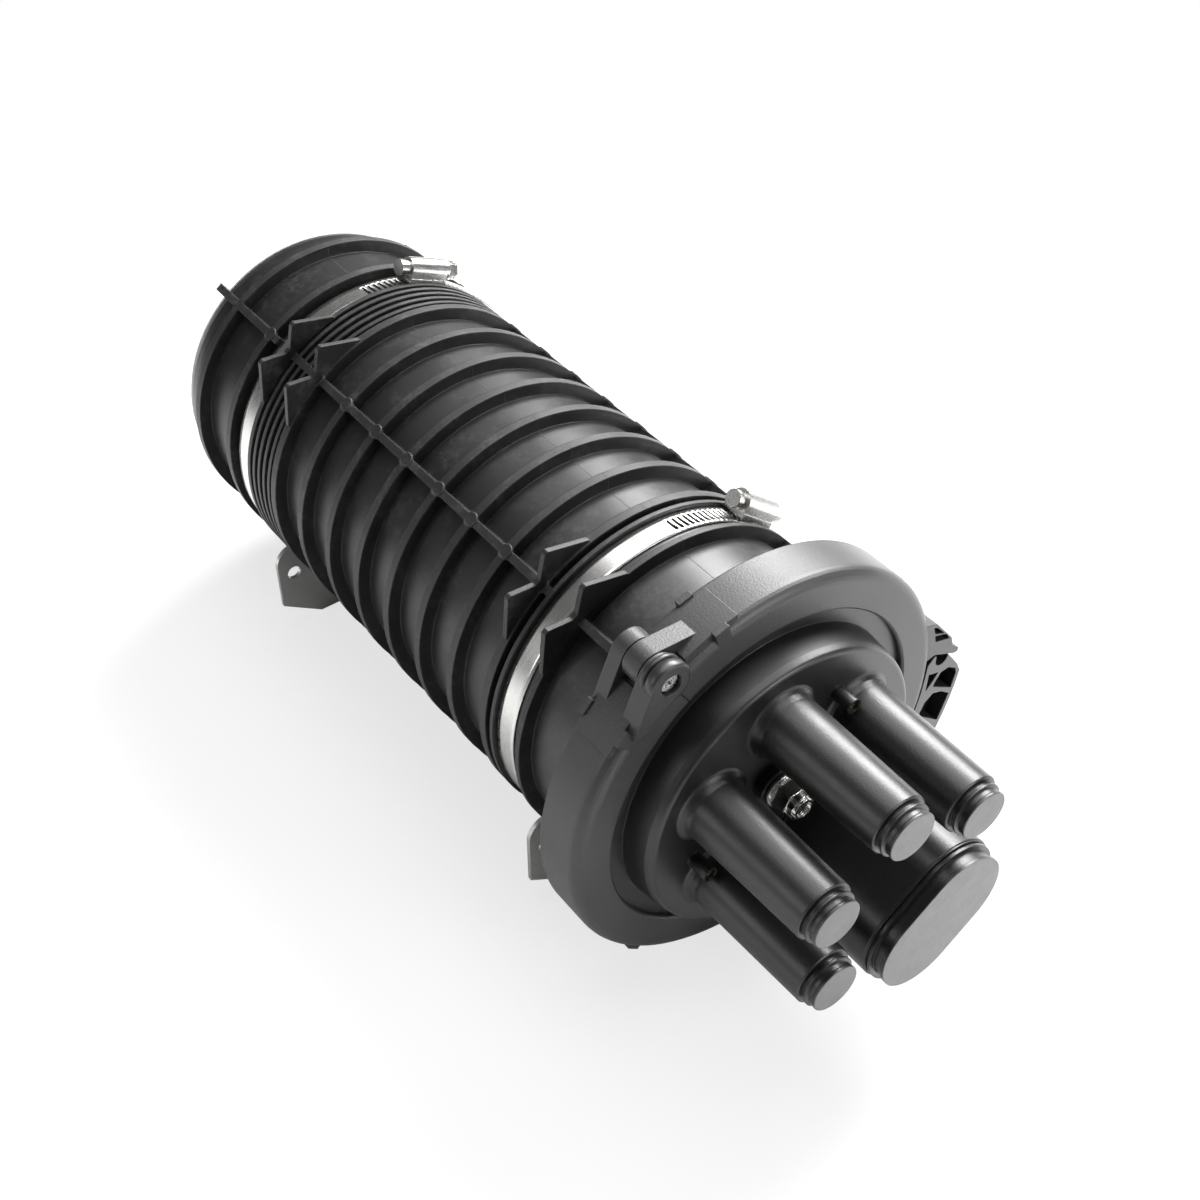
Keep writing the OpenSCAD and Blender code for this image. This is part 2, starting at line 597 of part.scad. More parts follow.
module hook_pin() {
    color("#cfcfcf") rolled(clamp_roll) rod(hpin_r, arm_x[0][0] + 0.2, arm_x[1][1] - 0.2, hp[0], hp[1]);
}

// ---- band clamps and brackets ---------------------------------------------------
shelf_half = 26;
module band(xc, screw_at) {
    sh = shelf_t + 0.1;
    // drawn in the upright frame: angles from straight up
    place() across(xc - band_w / 2, xc + band_w / 2) difference() {
        union() {
            sector(band_in, band_in + band_t, -(180 - shelf_half - 4), 180 - shelf_half - 4);
            sector(band_in + sh, band_in + sh + band_t, 180 - shelf_half - 1, 180 + shelf_half + 1);
            for (s = [-1, 1]) polygon([pol(band_in, s * (176 - shelf_half)), pol(band_in + band_t,
                    s * (176 - shelf_half)),
                pol(band_in + sh + band_t, s * (179 - shelf_half) ), pol(band_in + sh,
                        s * (179 - shelf_half))]);
        }
        // seat of the screw housing
        sector(band_in - 1, band_in + 0.001, 0, 1);
    }
    // free tail past the housing
    place() rotate([-screw_at, 0, 0]) across(xc - band_w / 2 + 0.3, xc + band_w / 2 - 0.3)
        sector(band_in + band_t + 0.02, band_in + 2 * band_t + 0.02, -6, 34);
}
house_l = 24;
house_z = band_in + 2 * band_t + 0.1;
screw_z = house_z + 6.4;
module screw_housing(xc, screw_at) {
    place() rotate([-screw_at, 0, 0]) translate([xc, 0, 0]) difference() {
        union() {
            translate([-band_w / 2 - 0.6, -house_l / 2, house_z - 0.2]) cube([band_w + 1.2, house_l, 2.6]);
            intersection() {
                union() {
                    translate([0, house_l / 2, screw_z]) rotate([90, 0, 0]) cylinder(r = 6.3, h = house_l);
                    translate([-6.3, -house_l / 2, house_z]) cube([12.6, house_l, 6.4]);
                }
                translate([-10, -house_l / 2, house_z - 1]) cube([20, house_l, 20]);
            }
            // side plates that wrap the band
            for (s = [-1, 1]) translate([s * (band_w / 2 + 0.33) - 0.27, -house_l / 2,
                    house_z - 1.6]) cube([0.54, house_l, 2.2]);
        }
        translate([0, house_l / 2 + 1, screw_z]) rotate([90, 0, 0]) cylinder(r = 4.6, h = house_l + 2);
        translate([0, 0, 0]) rotate([0, 90, 0]) translate([0, 0, -20]) cylinder(r = house_z - 0.06,
                h = 40, $fn = 180);
    }
}
module worm_screw(xc, screw_at) {
    place() rotate([-screw_at, 0, 0]) translate([xc, 0, screw_z]) rotate([-90, 0, 0]) {
        difference() {
            union() {
                translate([0, 0, -house_l / 2 - 6]) cylinder(r = 4.54, h = house_l + 6.5);
                translate([0, 0, house_l / 2 + 0.4]) cylinder(r = 6, h = 1.6);
                translate([0, 0, house_l / 2 + 1.9]) cylinder(r = 5.4, h = 6, $fn = 6);
            }
            translate([-0.6, -6, house_l / 2 + 6.4]) cube([1.2, 12, 3]);
        }
    }
}
module bracket(xc) {
    w = bracket_half_w;
    c = 12 * k;
    ear_z = 58 * k - axis_h;
    x0 = xc + band_w / 2 + 0.9;
    color("#8d8f90") place() {
        // web across the axis, with an ear on each side
        across(x0, x0 + bracket_t) difference() {
            union() {
                translate([-w, -axis_h + 16 * k]) square([2 * w, 42 * k - c]);
                translate([c - w, -axis_h + 16 * k]) square([2 * (w - c), 42 * k]);
                for (s = [-1, 1]) translate([s * (w - c), ear_z - c]) circle(r = c);
                polygon([[-w, -axis_h + 16.1 * k], [w, -axis_h + 16.1 * k], [w - 24 * k, -axis_h],
                        [24 * k - w, -axis_h]]);
            }
            circle(r = seat_r + 0.1, $fn = 180);
            for (s = [-1, 1]) translate([s * (w - 10 * k), ear_z - 20 * k]) circle(r = ear_hole_r);
            // relief between the two feet
            translate([-26 * k, -axis_h - 1]) square([52 * k, 5 * k + 1]);
        }
        // shelf that the band holds down
        across(xc - band_w / 2 - 0.6, x0 + 0.1)
            sector(seat_r + 0.1, seat_r + 0.1 + shelf_t, 180 - shelf_half, 180 + shelf_half);
        // two feet
        for (s = [-1, 1]) translate([x0 - foot_l + bracket_t, s > 0 ? 26 * k : -(w - 24 * k),
                -axis_h]) cube([foot_l, w - 50 * k, bracket_t]);
    }
}
module band_front() { color("#d6d8da") band(band_f, front_screw_at); }
module band_rear() { color("#d6d8da") band(band_r, rear_screw_at); }
module screw_housing_front() { color("#d6d8da") screw_housing(band_f, front_screw_at); }
module screw_housing_rear() { color("#d6d8da") screw_housing(band_r, rear_screw_at); }
module worm_screw_front() { color("#c4c6c8") worm_screw(band_f, front_screw_at); }
module worm_screw_rear() { color("#c4c6c8") worm_screw(band_r, rear_screw_at); }
module bracket_front() { bracket(band_f); }
module bracket_rear() { bracket(band_r); }

// ---- inside -----------------------------------------------------------------------
frame_x0 = spigot_x - 18;
frame_l = tray_l + 42;
tray_x0 = frame_x0 - 22;
basket_d = 24;
tray_z0 = post_z + frame_t + basket_d + 6;
lug_y = 0.24 * tray_w;
module inner(a = 0) rolled(body_roll) children();
module carrier_frame() {
    color("#b8babc") inner() difference() {
        union() {
            translate([frame_x0 - frame_l, -tray_w / 2 - 2, post_z]) cube([frame_l + 18, tray_w + 4,
                    frame_t]);
            for (s = [-1, 1]) translate([frame_x0 - frame_l,
                    s > 0 ? tray_w / 2 + 2 - frame_t : -tray_w / 2 - 2, post_z])
                cube([frame_l - 12, frame_t, 16]);
        }
        for (i = [0:4]) translate([frame_x0 - 0.18 * frame_l - i * 0.17 * frame_l, 0,
                post_z - 1]) cylinder(r = 14, h = 4);
        for (s = [-1, 1]) translate([spigot_x - 10, s * post_y, post_z - 1]) cylinder(r = 1.8, h = 4);
    }
}
module frame_screws() {
    color("#c0c0c0") inner() for (s = [-1, 1]) translate([spigot_x - 10, s * post_y, post_z - 7]) {
        cylinder(r = 1.55, h = 8.6);
        translate([0, 0, 7 + frame_t]) cylinder(r = 3.2, h = 1.8);
    }
}
module slack_basket() {
    color("#e4e2dc") inner() translate([frame_x0 - frame_l + 14, -tray_w / 2 + 4,
            post_z + frame_t]) difference() {
        cube([frame_l - 90, tray_w - 8, basket_d]);
        translate([2, 2, 1.6]) cube([frame_l - 94, tray_w - 12, basket_d]);
        for (s = [0, 1]) translate([frame_l / 2 - 45, s * (tray_w - 8), basket_d + 2]) rotate([90, 0,
                0]) cylinder(r = 14, h = 8, center = true);
    }
}
module tray_hinge() {
    color("#e4e2dc") inner() difference() {
        union() {
            translate([tray_x0 + 4, -0.3 * tray_w, post_z + frame_t]) cube([7, 0.6 * tray_w,
                    tray_z0 - post_z + (tray_count - 1) * tray_pitch + 6]);
            for (i = [0:tray_count - 1]) for (s = [-1, 1])
                translate([tray_x0 - 2, s * lug_y - 4, tray_z0 + i * tray_pitch + 1]) cube([7, 8, 6]);
        }
        for (i = [0:tray_count - 1])
            translate([tray_x0 + 1, 0, tray_z0 + i * tray_pitch + 4]) rotate([90, 0,
                    0]) cylinder(r = 1.55, h = 120, center = true);
    }
}
module tray_hinge_pins() {
    color("#c0c0c0") inner() for (i = [0:tray_count - 1]) for (s = [-1, 1])
        translate([tray_x0 + 1, s * lug_y, tray_z0 + i * tray_pitch + 4]) rotate([90, 0,
                0]) cylinder(r = 1.5, h = 22, center = true);
}
module tray(i) {
    x0 = tray_x0 - 3 - tray_l;
    w = tray_w;
    color("#e9e7e1") inner() translate([0, 0, tray_z0 + i * tray_pitch]) difference() {
        union() {
            translate([x0, -w / 2, 0]) cube([tray_l, w, tray_d]);
            for (s = [-1, 1]) for (t = [-1, 1])
                translate([tray_x0 - 4, s * lug_y + t * 8 - 2.5, 0.6]) cube([7, 5, 6]);
        }
        difference() {
            translate([x0 + tray_wall, -w / 2 + tray_wall, tray_wall]) cube([tray_l - 2 * tray_wall,
                    w - 2 * tray_wall, tray_d]);
            for (s = [0, 1]) translate([x0 + 44 + s * (tray_l - 88), 0, 0]) difference() {
                cylinder(r = 28, h = tray_d - 1);
                cylinder(r = 26, h = tray_d + 1);
            }
        }
        for (s = [-1, 1]) translate([tray_x0 + 1, s * lug_y, 4]) rotate([90, 0, 0]) cylinder(r = 1.55,
                h = 30, center = true);
        translate([x0 - 1, w / 2 - 14, tray_wall]) cube([4, 10, tray_d]);
        translate([x0 - 1, 4 - w / 2, tray_wall]) cube([4, 10, tray_d]);
    }
}
module splice_tray_1() tray(0);
module splice_tray_2() tray(1);
module splice_tray_3() tray(2);
module splice_tray_4() tray(3);
module comb(i) {
    color("#c9c7c0") inner() translate([tray_x0 - 33 - tray_l / 2, 0,
            tray_z0 + i * tray_pitch + tray_wall]) difference() {
        translate([0, -tray_w / 4, 0]) cube([60, tray_w / 2, 6]);
        for (j = [0:6]) translate([-1, -tray_w / 4 + 1.7 + j * (tray_w / 2 - 1.7) / 7, 1.4]) cube([62,
                (tray_w / 2 - 1.7) / 7 - 1.7, 6]);
    }
}
module splice_comb_1() comb(0);
module splice_comb_2() comb(1);
module splice_comb_3() comb(2);
module splice_comb_4() comb(3);
module tray_cover() {
    color([0.8, 0.85, 0.88, 0.4]) inner()
        translate([tray_x0 - 3 - tray_l, -tray_w / 2,
                tray_z0 + (tray_count - 1) * tray_pitch + tray_d]) cube([tray_l, tray_w, 1.4]);
}
bar_z = post_z + frame_t;
module anchor_bar() {
    color("#b8babc") inner() translate([anchor_x, 0, 0]) difference() {
        union() {
            translate([0, 8 - tray_w / 2, bar_z]) cube([13, tray_w - 16, 2]);
            translate([0, 8 - tray_w / 2, bar_z]) cube([2, tray_w - 16, 16]);
        }
        for (y = anchors) translate([7.5, y, bar_z - 1]) cylinder(r = 2, h = 4);
    }
}
anchor_x = spigot_x - 27;
anchors = [for (i = [-2:2]) i * 0.18 * tray_w];
module anchor_clamps() {
    color("#c9cbcd") inner() for (y = anchors) translate([anchor_x + 7.5, y, bar_z + 2]) difference() {
        translate([-4.5, -6, 0]) cube([9, 12, 5]);
        translate([0, 0, -1]) cylinder(r = 2, h = 8);
        translate([-5, 2.4, 2.5]) rotate([0, 90, 0]) cylinder(r = 1, h = 10);
    }
}
module anchor_screws() {
    color("#c0c0c0") inner() for (y = anchors) translate([anchor_x + 7.5, y, bar_z + 0.2]) {
        cylinder(r = 1.9, h = 7);
        translate([0, 0, 6.8]) cylinder(r = 3.6, h = 2.4, $fn = 6);
    }
}

base();
o_ring();
dome();
clamp_lower();
clamp_upper();
hinge_pin();
latch_lever();
latch_pin();
latch_hook();
hook_pin();
valve_body();
valve_gasket();
valve_nut();
valve_cap();
earth_inserts();
band_front();
band_rear();
screw_housing_front();
screw_housing_rear();
worm_screw_front();
worm_screw_rear();
bracket_front();
bracket_rear();
carrier_frame();
frame_screws();
slack_basket();
tray_hinge();
tray_hinge_pins();
splice_tray_1();
splice_tray_2();
splice_tray_3();
splice_tray_4();
splice_comb_1();
splice_comb_2();
splice_comb_3();
splice_comb_4();
tray_cover();
anchor_bar();
anchor_clamps();
anchor_screws();
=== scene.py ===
# %% [markdown]
# # Dome splice closure
# A ribbed dome, a base with cable ports and a clamp hoop lie on two steel brackets. The solid model already has
# every part with its true size and place. This notebook loads it as a fixed frame, paints each part as what it is
# made of, and builds the few pieces whose fine shape the solid model leaves plain, such as the slotted bands.

# %% Load the frame
import math

import bmesh
import bpy
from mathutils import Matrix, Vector


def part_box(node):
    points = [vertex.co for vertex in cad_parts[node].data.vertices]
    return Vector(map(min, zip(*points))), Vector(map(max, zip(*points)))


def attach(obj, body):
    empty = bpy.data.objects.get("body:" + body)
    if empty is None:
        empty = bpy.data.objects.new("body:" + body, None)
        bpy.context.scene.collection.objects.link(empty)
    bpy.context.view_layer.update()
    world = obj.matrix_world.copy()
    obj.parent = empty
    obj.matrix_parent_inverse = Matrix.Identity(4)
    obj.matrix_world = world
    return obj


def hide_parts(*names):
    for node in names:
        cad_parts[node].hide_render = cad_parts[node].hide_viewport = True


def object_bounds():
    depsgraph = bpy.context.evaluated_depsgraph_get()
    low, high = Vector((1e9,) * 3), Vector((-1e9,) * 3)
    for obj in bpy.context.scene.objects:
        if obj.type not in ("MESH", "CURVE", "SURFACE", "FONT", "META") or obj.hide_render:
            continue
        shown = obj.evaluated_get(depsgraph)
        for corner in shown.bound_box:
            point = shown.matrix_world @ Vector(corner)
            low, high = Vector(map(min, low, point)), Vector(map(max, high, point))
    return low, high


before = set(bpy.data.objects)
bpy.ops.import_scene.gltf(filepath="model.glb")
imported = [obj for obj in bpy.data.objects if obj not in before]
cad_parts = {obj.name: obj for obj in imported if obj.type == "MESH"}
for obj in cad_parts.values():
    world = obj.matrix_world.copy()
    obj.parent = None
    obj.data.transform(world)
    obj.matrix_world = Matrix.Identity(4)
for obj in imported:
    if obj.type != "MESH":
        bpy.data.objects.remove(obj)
CAD_BOX = [list(corner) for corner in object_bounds()]
print("CAD box", [[round(v, 4) for v in c] for c in CAD_BOX])

# %% [markdown]
# ## Where the closure lies
# Everything turns round one axis along X. Its height is the height of the clamp hoop's middle, and its place along Y
# is halfway between the sides of the dome. All later pieces are placed from this axis, in metres.

# %% The closure's axis
MM = 0.001
dome_low, dome_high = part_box("dome")
AXIS_Y = (dome_low.y + dome_high.y) / 2
AXIS_Z = (dome_low.z + dome_high.z) / 2
PORT_TIP_MM = 96.8  # from the clamp's front face to the ends of the ports
base_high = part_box("base")[1]
FACE_X = base_high.x - PORT_TIP_MM * MM
print("axis at y, z", round(AXIS_Y, 4), round(AXIS_Z, 4), "clamp face at x", round(FACE_X, 4))


def at(x_mm, radius_mm, angle_deg):
    """A point in metres: x from the clamp's front face, radius from the axis, angle from straight up towards +Y."""
    a = math.radians(angle_deg)
    return Vector((FACE_X + x_mm * MM, AXIS_Y + radius_mm * MM * math.sin(a), AXIS_Z + radius_mm * MM * math.cos(a)))


# %% [markdown]
# ## The camera
# A long lens from the port end, high and to the left, shows the ports, the hoop and the whole length of the dome.

# %% Camera
CAMERA_PLACE = Vector((540.0, -390.4, 703.9)) * MM
CAMERA_AIM = Vector((77.7, -42.9, 170.4)) * MM
LENS_MM = 50.27
camera_data = bpy.data.cameras.new("camera")
camera_data.lens = LENS_MM
camera_data.sensor_width = 36.0
camera = bpy.data.objects.new("camera", camera_data)
camera.location = CAMERA_PLACE
camera.rotation_euler = (CAMERA_AIM - CAMERA_PLACE).to_track_quat("-Z", "Y").to_euler()
bpy.context.scene.collection.objects.link(camera)
bpy.context.scene.camera = camera
bpy.context.scene.view_settings.view_transform = "Standard"
print("camera is", round((CAMERA_AIM - CAMERA_PLACE).length, 3), "m from what it looks at")

# %% [markdown]
# ## Writing shader maths as plain expressions
# A Cycles material is a network of nodes. Building one by hand means adding a node for every plus and times, so a
# small wrapper round a socket lets ordinary Python expressions add those nodes. Anything else, such as a noise or a
# colour ramp, comes from one method that takes the node's type, its settings and its inputs.


# %% Socket expressions
class Wire:
    """A value in a material: a socket that can be added, multiplied and compared like a number."""

    def __init__(self, paint, socket):
        self.paint = paint
        self.socket = socket

    def _math(self, operation, first, second):
        return self.paint.node("ShaderNodeMath", {"operation": operation}, {0: first, 1: second})

    def __add__(self, other):
        return self._math("ADD", self, other)

    def __sub__(self, other):
        return self._math("SUBTRACT", self, other)

    def __rsub__(self, other):
        return self._math("SUBTRACT", other, self)

    def __mul__(self, other):
        return self._math("MULTIPLY", self, other)

    def __gt__(self, other):
        return self._math("GREATER_THAN", self, other)

    def power(self, exponent):
        return self._math("POWER", self, exponent)

    def ramp(self, low, high):
        """0 below low, 1 above high, smooth in between."""
        painted_sheen_from_x = {"Value": self, "From Min": low, "From Max": high}
        return self.paint.node("ShaderNodeMapRange", {"interpolation_type": "SMOOTHSTEP"}, painted_sheen_from_x)

    __radd__ = __add__
    __rmul__ = __mul__


class Paint:
    """One material's node network."""

    def __init__(self, name):
        self.material = bpy.data.materials.new(name)
        self.material.use_nodes = True
        self.tree = self.material.node_tree
        self.shader = self.tree.nodes["Principled BSDF"]

    def node(self, kind, settings=None, inputs=None, out=0):
        made = self.tree.nodes.new(kind)
        for name, value in (settings or {}).items():
            setattr(made, name, value)
        for name, value in (inputs or {}).items():
            self.connect(made.inputs[name], value)
        return Wire(self, made.outputs[out])

    def connect(self, socket, value):
        if isinstance(value, Wire):
            self.tree.links.new(value.socket, socket)
        else:
            socket.default_value = value

    def place(self):
        """Where the surface is, in metres, in the part's own frame."""
        return self.node("ShaderNodeTexCoord", out="Object")

    def noise(self, scale, detail=3.0, roughness=0.55, where=None):
        return self.node(
            "ShaderNodeTexNoise",
            {"normalize": True},
            {"Vector": where or self.place(), "Scale": scale, "Detail": detail, "Roughness": roughness},
        )

    def mix(self, factor, first, second):
        return self.node(
            "ShaderNodeMix", {"data_type": "RGBA"}, {"Factor": factor, 6: first, 7: second}, out=2
        )

    def normal(self, height, depth_mm, round_mm=0.0):
        """The surface's normal with fine height on it, and sharp edges softened by round_mm."""
        inputs = {"Height": height, "Distance": depth_mm * MM, "Strength": 1.0}
        if round_mm:
            inputs["Normal"] = self.node("ShaderNodeBevel", {"samples": 4}, {"Radius": round_mm * MM})
        return self.node("ShaderNodeBump", None, inputs)

    def set(self, **inputs):
        for name, value in inputs.items():
            self.connect(self.shader.inputs[name.replace("_", " ")], value)
        return self


def grey(level, warm=0.0):
    """A grey as an RGBA colour; warm pushes it slightly towards red."""
    return (level * (1 + warm), level, level * (1 - warm), 1.0)


print("shader helpers ready")

# %% [markdown]
# ## Black moulded plastic
# Dome, base and clamp are glass-filled polypropylene: nearly black, with a dry sheen. The tool's spark-eroded skin
# leaves a fine grain, the melt leaves slow clouds in the gloss, and handling leaves pale scuffs on the high edges.
# One function makes the family, so each part can have its own grain, gloss and wear, and the base's port end faces
# get a painted sheen.


# %% Moulded plastic
def moulded_plastic(name, level, rough, grain_mm, grain_depth_mm, cloud=0.10, scuff=0.5, round_mm=0.7, painted_sheen_from_x=None):
    p = Paint(name)
    where = p.place()
    clouds = p.noise(26.0, 4.0, 0.6, where)
    grain = p.noise(1.0 / (grain_mm * MM), 2.0, 0.5, where)
    flecks = p.noise(310.0, 5.0, 0.7, where).ramp(0.64, 0.74)
    rub = p.noise(70.0, 5.0, 0.65, where).ramp(0.55, 0.75)
    pale = flecks * rub * scuff
    speckled = p.mix(grain, grey(level * 0.6), grey(level * 1.4))
    # Painted sheen: the flat end faces of the ports are painted paler and mottled, in place of the white floor's
    # reflection in them.
    if painted_sheen_from_x:
        along = p.node("ShaderNodeSeparateXYZ", None, {"Vector": where}, out=0)
        sheen_mottle = p.noise(120.0, 5.0, 0.7, where)
        speckled = p.mix(along > painted_sheen_from_x, speckled, p.mix(sheen_mottle, grey(level * 3.0), grey(level * 12.0)))
    p.set(
        Base_Color=p.mix(pale, speckled, grey(level * 2.6 + 0.012, 0.03)),
        Roughness=clouds * cloud + (rough - cloud * 0.5) + pale * 0.12 + (grain - 0.5) * 0.10,
        Normal=p.normal(grain + clouds * 0.15, grain_depth_mm, round_mm),
    )
    return p


hoop_plastic = moulded_plastic("hoop_plastic", 0.028, 0.44, 1.0, 0.11, 0.10, 0.6)
# Faces within 0.3 mm of the port tips get the painted sheen.
base_plastic = moulded_plastic("base_plastic", 0.009, 0.38, 1.0, 0.06, 0.12, 0.5, painted_sheen_from_x=base_high.x - 0.3 * MM)
lever_plastic = moulded_plastic("lever_plastic", 0.020, 0.36, 0.8, 0.04, 0.10, 0.4)
print("three plastics made")

# %% [markdown]
# ## The dome's plastic
# The panels between the ribs came out of a smooth steel core, so they are glossier than the rib tops, which are
# grained. The height above the axis tells the two apart. The two halves of the mould met in a fine straight line
# along the dome, which is a thin raised ridge on the real one.


# %% Dome plastic
def dome_plastic():
    p = Paint("dome_plastic")
    where = p.place()
    y = p.node("ShaderNodeSeparateXYZ", None, {"Vector": where}, out=1) - AXIS_Y
    z = p.node("ShaderNodeSeparateXYZ", None, {"Vector": where}, out=2) - AXIS_Z
    radius = (y * y + z * z).power(0.5)
    on_rib = radius.ramp(89.2 * MM, 90.6 * MM)
    clouds = p.noise(22.0, 4.0, 0.6, where)
    streaks = p.noise(60.0, 3.0, 0.5, p.node("ShaderNodeMapping", None, {"Vector": where, "Scale": (0.25, 1.0, 1.0)}))
    grain = p.noise(1150.0, 2.0, 0.5, where)
    fine = p.noise(2400.0, 1.0, 0.5, where)
    rub = p.noise(45.0, 5.0, 0.7, where).ramp(0.46, 0.62) * p.noise(260.0, 5.0, 0.75, where).ramp(0.42, 0.60)
    turn = p.node("ShaderNodeMath", {"operation": "ARCTAN2"}, {0: y, 1: z})
    seam = p.node("ShaderNodeMath", {"operation": "ABSOLUTE"}, {0: turn - math.radians(3.0)})
    seam_line = 1.0 - seam.ramp(0.0012, 0.0030)
    pale = rub * (on_rib * 0.15 + 0.22) + seam_line * 0.25
    p.set(
        Base_Color=p.mix(pale, grey(0.009), grey(0.07, 0.03)),
        Roughness=clouds * 0.16 + streaks * 0.06 + 0.28 + on_rib * 0.14 + pale * 0.10,
        Normal=p.normal(grain * (on_rib * 0.9 + 0.1) + fine * 0.12 + clouds * 0.5 + seam_line * 1.2, 0.11, 0.9),
    )
    return p


dome_paint = dome_plastic()
print("dome plastic made")

# %% [markdown]
# ## Metals
# The bands are cold-rolled stainless strip with fine lines along the strip. The brackets are pressed from a duller
# sheet. The valve is chromed brass, and the pins and screws are turned steel.


# %% Metals
def metal(name, colour, rough, line_scale=(1.0, 1.0, 1.0), line=0.0, haze=0.10, depth_mm=0.004, round_mm=0.25):
    p = Paint(name)
    where = p.place()
    stretched = p.node("ShaderNodeMapping", None, {"Vector": where, "Scale": line_scale})
    lines = p.noise(900.0, 3.0, 0.6, stretched)
    hazes = p.noise(55.0, 4.0, 0.6, where)
    p.set(
        Base_Color=p.mix(hazes, colour, tuple(c * 0.86 for c in colour[:3]) + (1.0,)),
        Metallic=1.0,
        Roughness=(lines - 0.5) * line + (hazes - 0.5) * haze + rough,
        Normal=p.normal(lines, depth_mm, round_mm),
    )
    return p


band_steel = metal("band_steel", (0.60, 0.595, 0.58, 1.0), 0.27, (4.0, 0.12, 0.12), 0.16, 0.10, 0.006)
bracket_steel = metal("bracket_steel", (0.56, 0.56, 0.55, 1.0), 0.40, (1.0, 0.3, 1.0), 0.12, 0.16, 0.010, 0.4)
valve_chrome = metal("valve_chrome", (0.86, 0.85, 0.83, 1.0), 0.20, (1.0, 1.0, 1.0), 0.03, 0.08, 0.002, 0.35)
pin_steel = metal("pin_steel", (0.66, 0.65, 0.63, 1.0), 0.26, (0.3, 1.0, 1.0), 0.10, 0.10, 0.004)
insert_brass = metal("insert_brass", (0.78, 0.62, 0.32, 1.0), 0.28, (0.3, 1.0, 1.0), 0.08, 0.10, 0.004)
carrier_sheet = metal("carrier_sheet", (0.70, 0.71, 0.72, 1.0), 0.42, (0.2, 1.0, 1.0), 0.10, 0.12, 0.006)
print("six metals made")

# %% [markdown]
# ## Rubber, trays and cover
# These are hidden while the closure is shut, and show when the dome is drawn off. The trays are off-white ABS, the
# combs grey and soft, and the cover of the top tray is clear.


# %% Inner finishes
def soft_finish(name, colour, rough, grain_mm, depth_mm, dust=0.2):
    p = Paint(name)
    where = p.place()
    grain = p.noise(1.0 / (grain_mm * MM), 3.0, 0.5, where)
    clouds = p.noise(40.0, 4.0, 0.6, where)
    darker = tuple(c * 0.9 for c in colour[:3]) + (1.0,)
    p.set(
        Base_Color=p.mix(clouds * dust, colour, darker),
        Roughness=(clouds - 0.5) * 0.12 + rough,
        Normal=p.normal(grain, depth_mm, 0.4),
    )
    return p


seal_rubber = soft_finish("seal_rubber", grey(0.02), 0.52, 0.5, 0.02)
tray_plastic = soft_finish("tray_plastic", (0.74, 0.73, 0.69, 1.0), 0.45, 0.7, 0.015)
comb_rubber = soft_finish("comb_rubber", (0.22, 0.23, 0.25, 1.0), 0.55, 0.5, 0.02)
clear_cover = soft_finish("clear_cover", (0.82, 0.88, 0.90, 1.0), 0.12, 2.0, 0.004)
clear_cover.set(Alpha=clear_cover.noise(12.0) * 0.10 + 0.26, IOR=1.49)
print("four inner finishes made")

# %% [markdown]
# ## Painting the solid model
# Every part of the solid model gets its finish here. A part's material slots are all filled with the same paint.

# %% Paint each part
PAINTED = [
    (dome_paint, ["dome"]),
    (hoop_plastic, ["clamp_lower", "clamp_upper"]),
    (lever_plastic, ["latch_lever", "latch_hook"]),
    (base_plastic, ["base"]),
    (band_steel, ["band_front", "band_rear", "screw_housing_front", "screw_housing_rear"]),
    (bracket_steel, ["bracket_front", "bracket_rear"]),
    (valve_chrome, ["valve_body", "valve_cap", "valve_nut"]),
    (pin_steel, ["hinge_pin", "latch_pin", "hook_pin", "worm_screw_front", "worm_screw_rear", "frame_screws",
        "tray_hinge_pins", "anchor_screws"]),
    (seal_rubber, ["o_ring", "valve_gasket"]),
    (insert_brass, ["earth_inserts"]),
    (tray_plastic, ["slack_basket", "tray_hinge"] + [f"splice_tray_{i}" for i in (1, 2, 3, 4)]),
    (comb_rubber, [f"splice_comb_{i}" for i in (1, 2, 3, 4)]),
    (clear_cover, ["tray_cover"]),
    (carrier_sheet, ["carrier_frame", "anchor_bar", "anchor_clamps"]),
]
painted = set()
for paint, names in PAINTED:
    for name in names:
        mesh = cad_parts[name].data
        mesh.materials.clear()
        mesh.materials.append(paint.material)
        painted.add(name)
print("painted", len(painted), "parts, left over:", sorted(set(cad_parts) - painted))


def add_piece(name, mesh, paint, body):
    """Put a finished mesh in the scene as a piece of this body, with its paint and material slot."""
    mesh.materials.append(paint.material)
    piece = bpy.data.objects.new(name, mesh)
    bpy.context.scene.collection.objects.link(piece)
    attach(piece, body)
    return piece

# %% [markdown]
# ## The slotted bands
# A worm-drive band is one strip of thin stainless steel. The screw's thread bites into slanted slots punched through
# the strip, so the slots show on the stretch that enters the housing and on the loose tail beyond it. The strip is
# built as a sheet of quads that leaves out a quad for each slot, and then given its thickness.

# %% Strip with slots
BAND_IN_MM = 88.05
BAND_T_MM = 0.9
BAND_W_MM = 12.7
SLOT_PITCH_DEG = 2.15
SLOT_HALF_MM = 4.0
SLOT_SLANT_DEG_PER_MM = 0.05
SLOT_SPAN = (0.22, 0.74)  # the punched share of one pitch
PLAIN_PITCH_DEG = 1.5
SHELF_STEP_MM = 1.6  # how far the strip rises over a bracket's shelf
SHELF_FROM_DEG = 150.2
SHELF_RAMP_DEG = 2.6


